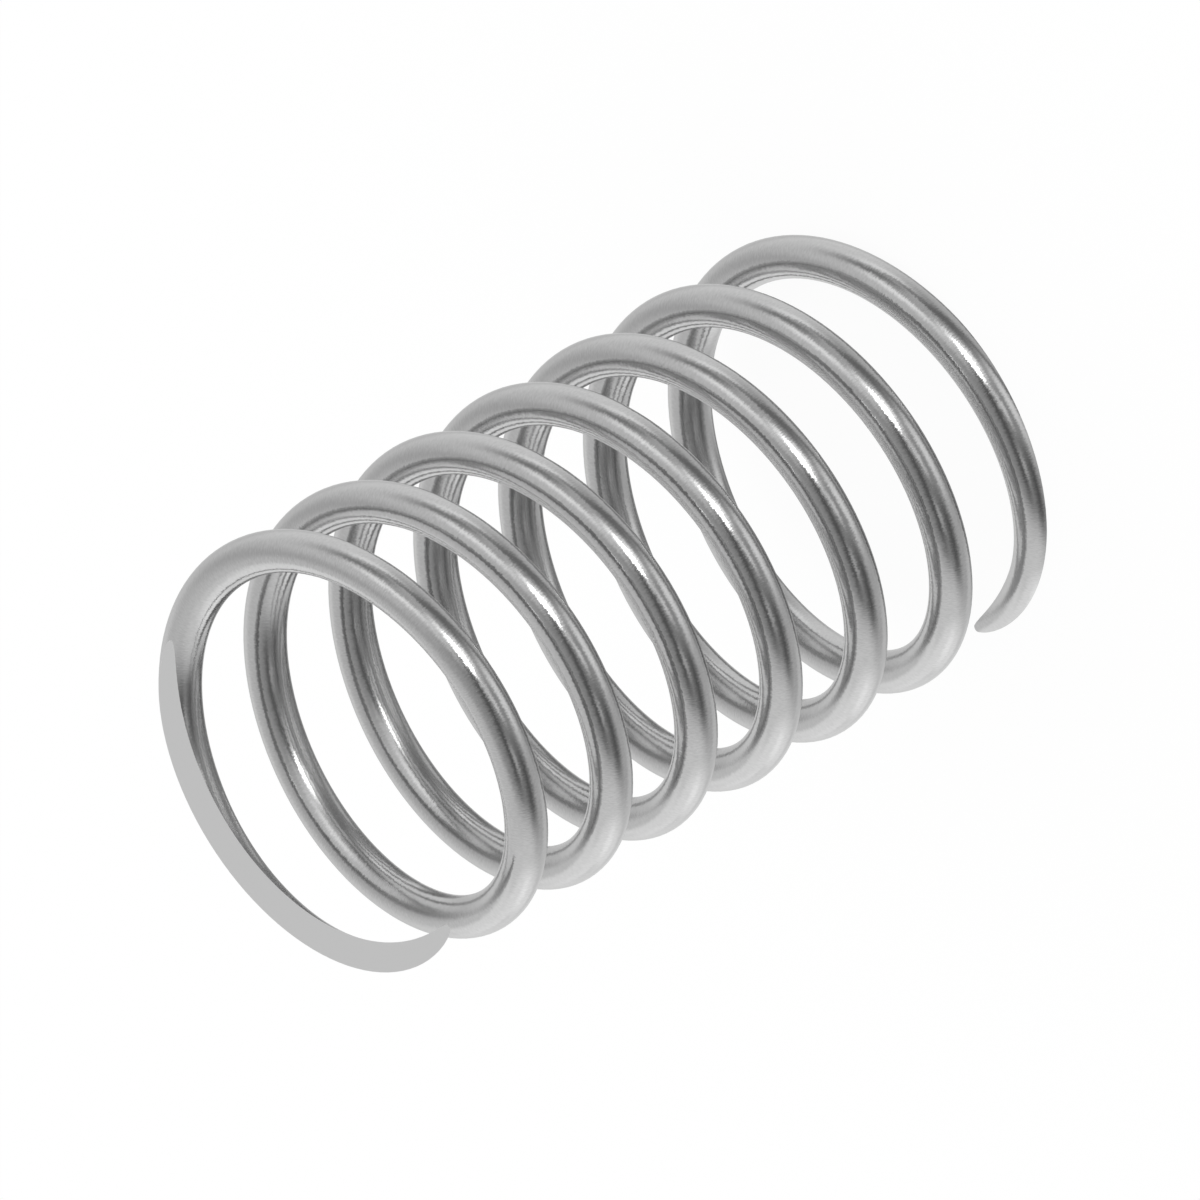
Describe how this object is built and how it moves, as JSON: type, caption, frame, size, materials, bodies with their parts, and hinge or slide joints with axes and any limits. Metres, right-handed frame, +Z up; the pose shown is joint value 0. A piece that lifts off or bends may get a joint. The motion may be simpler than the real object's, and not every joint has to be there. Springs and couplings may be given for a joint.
{
  "type": "compression spring",
  "caption": "Helical compression spring of round steel wire, open right-hand coils with both ends ground flat; pushes back along its axis when squeezed.",
  "frame": {"origin": "on the spring's axis, in the plane of the bottom ground end", "axes": "+Z up the spring's axis towards the top ground end; +X towards the place where the wire's centre line comes up through the bottom ground plane; +Y completes a right-handed frame"},
  "size_m": [0.027, 0.027, 0.0454],
  "materials": {
    "spring_wire": "satin drawn wire, ground on its two end faces"
  },
  "bodies": {
    "root": {"spring_coil": "spring_wire"}
  },
  "joints": []
}
